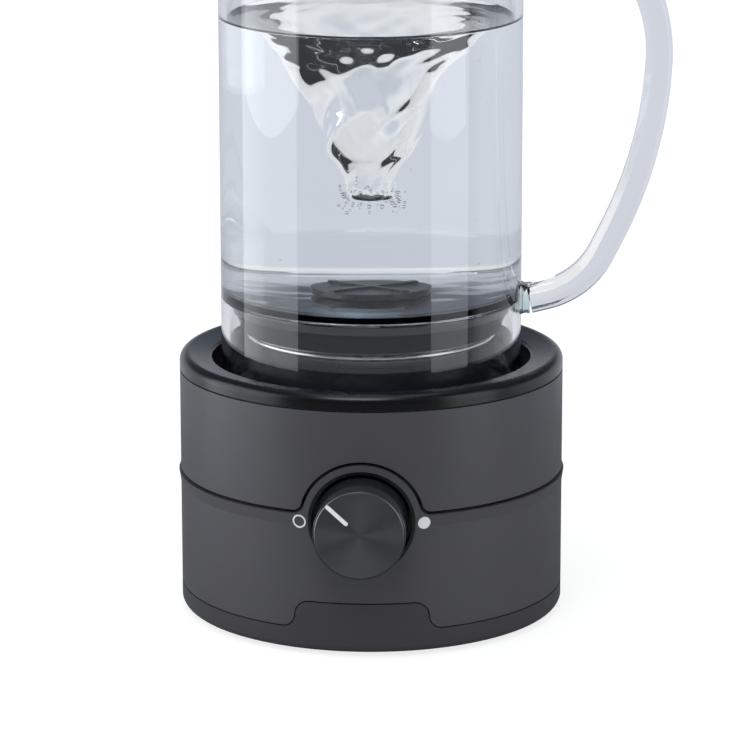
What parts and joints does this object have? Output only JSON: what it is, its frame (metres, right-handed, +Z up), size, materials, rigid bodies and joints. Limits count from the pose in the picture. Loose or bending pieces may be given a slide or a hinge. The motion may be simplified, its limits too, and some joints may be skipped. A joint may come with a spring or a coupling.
{
  "type": "cold brew coffee maker",
  "caption": "Glass jar with a loop handle, seated in the well of a round motor base whose front knob sets the speed of a magnetic stirrer inside the jar.",
  "frame": {"origin": "centre of the foot ring, on the surface that the base stands on", "axes": "+Z up along the common axis of the base, the motor and the jar; -Y towards the control knob; +X along the jar's handle"},
  "size_m": [0.1865, 0.1639, 0.308],
  "materials": {
    "shell_grey": "matte",
    "tray_grey": "matte",
    "rim_black": "satin",
    "gloss_black": "gloss",
    "soft_black": "matte",
    "print_white": "matte",
    "bright_trim": "polished",
    "knob_metal": "spun",
    "steel": "satin",
    "motor_steel": "satin",
    "magnet_grey": "matte",
    "copper_red": "satin",
    "bronze": "satin",
    "carbon_black": "matte",
    "nylon_white": "satin",
    "board_green": "satin",
    "terminal_green": "matte",
    "sleeve_blue": "satin",
    "bare_aluminium": "satin",
    "lead_red": "matte",
    "lead_yellow": "matte",
    "clear_glass": "clear",
    "handle_glass": "clear",
    "pad_glass": "clear",
    "stir_black": "satin",
    "lid_black": "satin",
    "seal_pale": "matte"
  },
  "bodies": {
    "base": {"base_tray": "tray_grey", "foot_ring": "soft_black", "case_screws": "steel", "lower_shell": "shell_grey", "upper_sleeve": "shell_grey", "top_housing": "rim_black", "knob_well": "rim_black", "dial_marks": "print_white", "cord_gland": "soft_black", "drive_housing": "gloss_black", "drive_screws": "steel", "trim_ring": "bright_trim", "jar_rest": "soft_black", "motor_bracket": "bare_aluminium", "motor_dampers": "soft_black", "bracket_screws": "steel", "motor_can": "motor_steel", "motor_end_cap": "carbon_black", "field_magnets": "magnet_grey", "brushes": "carbon_black", "motor_bushes": "bronze", "motor_screws": "steel", "control_board": "board_green", "board_screws": "steel", "capacitors": "sleeve_blue", "terminal_block": "terminal_green", "heat_sink": "bare_aluminium", "motor_leads": "lead_red", "control_leads": "lead_yellow", "speed_control": "carbon_black", "control_nut": "steel"},
    "rotor": {"motor_shaft": "steel", "armature_core": "motor_steel", "armature_windings": "copper_red", "commutator": "copper_red", "magnet_carrier": "nylon_white", "drive_magnets": "magnet_grey"},
    "control_knob": {"control_shaft": "steel", "knob": "gloss_black", "knob_face": "knob_metal", "knob_pointer": "print_white"},
    "jar": {"jar_glass": "clear_glass", "jar_handle": "handle_glass", "handle_pads": "pad_glass"},
    "stirrer": {"stir_disc": "stir_black", "stir_magnets": "magnet_grey", "stir_button": "nylon_white"},
    "lid": {"lid_cap": "lid_black", "lid_plug": "lid_black", "lid_seal": "seal_pale", "lid_strainer": "steel", "lid_grip": "lid_black", "lid_screw": "steel"}
  },
  "joints": [
    {"name": "knob_turn", "type": "hinge", "parent": "base", "child": "control_knob", "pos_m": [0, -0.08, 0.0516], "axis": [0, 1, 0], "range_deg": [-42.5, 137.5]},
    {"name": "rotor_spin", "type": "hinge", "parent": "base", "child": "rotor", "pos_m": [0, 0, 0.08], "axis": [0, 0, 1], "continuous": true},
    {"name": "jar_lift", "type": "slide", "parent": "base", "child": "jar", "axis": [0, 0, 1], "range_m": [0, 0.06]},
    {"name": "stir_spin", "type": "hinge", "parent": "jar", "child": "stirrer", "pos_m": [0, 0, 0.126], "axis": [0, 0, 1], "continuous": true},
    {"name": "lid_lift", "type": "slide", "parent": "jar", "child": "lid", "axis": [0, 0, 1], "range_m": [0, 0.03]}
  ],
  "couplings": [
    {"joint": "stir_spin", "follows": "rotor_spin", "ratio": 1}
  ]
}
